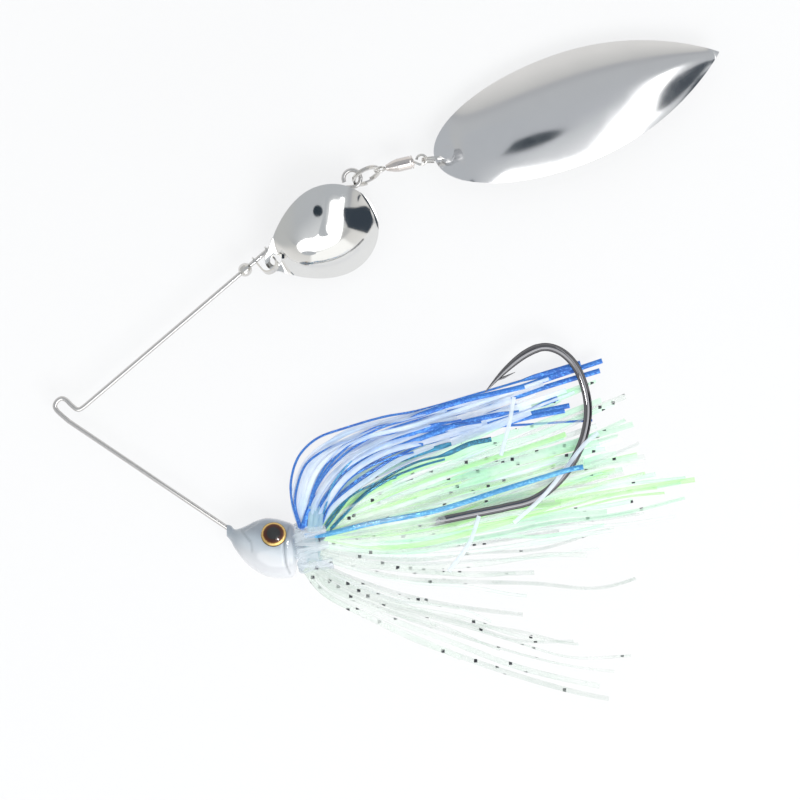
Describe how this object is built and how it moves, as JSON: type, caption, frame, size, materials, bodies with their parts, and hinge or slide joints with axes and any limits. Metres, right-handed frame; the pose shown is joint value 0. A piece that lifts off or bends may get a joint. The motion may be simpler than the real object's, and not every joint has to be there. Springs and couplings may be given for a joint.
{
  "type": "spinnerbait",
  "caption": "Fishing lure on a bent spring wire: cast fish-shaped head, single hook and silicone skirt below; Colorado blade on a clevis and swivel-hung willow blade above.",
  "frame": {"origin": "the line tie: centre of the R-shaped bend of the wire, in the plane of the wire and the hook", "axes": "+Z square to the plane of the wire and hook, up from the table the lure lies on; +X from the line tie towards the blade and hook end; +Y from the hook side towards the blade side"},
  "size_m": [0.1334, 0.1359, 0.0129],
  "materials": {
    "nickel": "bright nickel plate",
    "steel": "bright drawn spring wire",
    "black_nickel": "polished black nickel",
    "paint": "pearl white paint under clear gloss, blue-grey back",
    "foil": "printed gold and red-brown foil",
    "resin": "clear domed epoxy",
    "rubber": "translucent clear elastic",
    "blue": "blue silicone with fine glitter",
    "chartreuse": "translucent chartreuse silicone",
    "pearl": "translucent pearl white silicone",
    "clear": "clear silicone with black flake"
  },
  "bodies": {
    "lure_frame": {"wire_frame": "steel", "head_casting": "paint", "hook": "black_nickel", "eye_foil_near": "foil", "eye_foil_far": "foil", "eye_lens_near": "resin", "eye_lens_far": "resin", "skirt_collar": "rubber", "skirt_blue_near": "blue", "skirt_blue_far": "blue", "skirt_chartreuse_near": "chartreuse", "skirt_chartreuse_far": "chartreuse", "skirt_pearl_near": "pearl", "skirt_pearl_far": "pearl", "skirt_clear_near": "clear", "skirt_clear_far": "clear"},
    "lower_bead": {"lower_bead": "nickel"},
    "spacer_bead_1": {"spacer_bead_1": "nickel"},
    "spacer_bead_2": {"spacer_bead_2": "nickel"},
    "spacer_bead_3": {"spacer_bead_3": "nickel"},
    "spacer_bead_4": {"spacer_bead_4": "nickel"},
    "spacer_bead_5": {"spacer_bead_5": "nickel"},
    "clevis": {"clevis": "nickel"},
    "colorado_blade": {"colorado_blade": "nickel"},
    "front_split_ring": {"split_ring_front": "nickel"},
    "swivel_barrel": {"swivel_shell": "nickel", "swivel_end_cap": "nickel", "swivel_front_eye": "steel"},
    "bearing_balls": {"bearing_ball_1": "steel", "bearing_ball_2": "steel", "bearing_ball_3": "steel", "bearing_ball_4": "steel", "bearing_ball_5": "steel", "bearing_ball_6": "steel"},
    "swivel_shaft": {"swivel_rear_eye": "steel"},
    "rear_split_ring": {"split_ring_rear": "nickel"},
    "willow_blade": {"willow_blade": "nickel"}
  },
  "joints": [
    {"name": "lower_bead_spin", "type": "hinge", "parent": "lure_frame", "child": "lower_bead", "pos_m": [0.03682, 0.02706, 0], "axis": [0.7607, 0.649, 0], "continuous": true},
    {"name": "spacer_bead_1_spin", "type": "hinge", "parent": "lure_frame", "child": "spacer_bead_1", "pos_m": [0.04327, 0.03256, 0], "axis": [0.7607, 0.649, 0], "continuous": true},
    {"name": "spacer_bead_2_spin", "type": "hinge", "parent": "lure_frame", "child": "spacer_bead_2", "pos_m": [0.0457, 0.03463, 0], "axis": [0.7607, 0.649, 0], "continuous": true},
    {"name": "spacer_bead_3_spin", "type": "hinge", "parent": "lure_frame", "child": "spacer_bead_3", "pos_m": [0.04814, 0.03671, 0], "axis": [0.7607, 0.649, 0], "continuous": true},
    {"name": "spacer_bead_4_spin", "type": "hinge", "parent": "lure_frame", "child": "spacer_bead_4", "pos_m": [0.05057, 0.03879, 0], "axis": [0.7607, 0.649, 0], "continuous": true},
    {"name": "spacer_bead_5_spin", "type": "hinge", "parent": "lure_frame", "child": "spacer_bead_5", "pos_m": [0.05301, 0.04086, 0], "axis": [0.7607, 0.649, 0], "continuous": true},
    {"name": "clevis_spin", "type": "hinge", "parent": "lure_frame", "child": "clevis", "pos_m": [0.0401, 0.02985, 0], "axis": [0.7607, 0.649, 0], "continuous": true},
    {"name": "colorado_swing", "type": "hinge", "parent": "clevis", "child": "colorado_blade", "pos_m": [0.04183, 0.02781, 0.00209], "axis": [0.3996, -0.4684, -0.788], "range_deg": [0, 100]},
    {"name": "front_ring_lift", "type": "hinge", "parent": "lure_frame", "child": "front_split_ring", "pos_m": [0.05853, 0.0447, 0], "axis": [-0.4226, 0.9063, 0], "range_deg": [-25, 40]},
    {"name": "swivel_swing", "type": "hinge", "parent": "front_split_ring", "child": "swivel_barrel", "pos_m": [0.0636, 0.04707, 0], "axis": [-0.1583, 0.3395, 0.9272], "range_deg": [-50, 50]},
    {"name": "swivel_spin", "type": "hinge", "parent": "swivel_barrel", "child": "swivel_shaft", "pos_m": [0.06826, 0.04815, 0], "axis": [0.9744, 0.225, 0], "continuous": true},
    {"name": "ball_orbit", "type": "hinge", "parent": "swivel_barrel", "child": "bearing_balls", "pos_m": [0.06826, 0.04815, 0], "axis": [0.9744, 0.225, 0], "continuous": true},
    {"name": "rear_ring_lift", "type": "hinge", "parent": "swivel_shaft", "child": "rear_split_ring", "pos_m": [0.07225, 0.04905, 0], "axis": [-0.0454, 0.999, 0], "range_deg": [-40, 40]},
    {"name": "willow_swing", "type": "hinge", "parent": "rear_split_ring", "child": "willow_blade", "pos_m": [0.07784, 0.0493, 0], "axis": [0, 0, 1], "range_deg": [-60, 45]}
  ],
  "couplings": [
    {"joint": "ball_orbit", "follows": "swivel_spin", "ratio": 0.5}
  ]
}
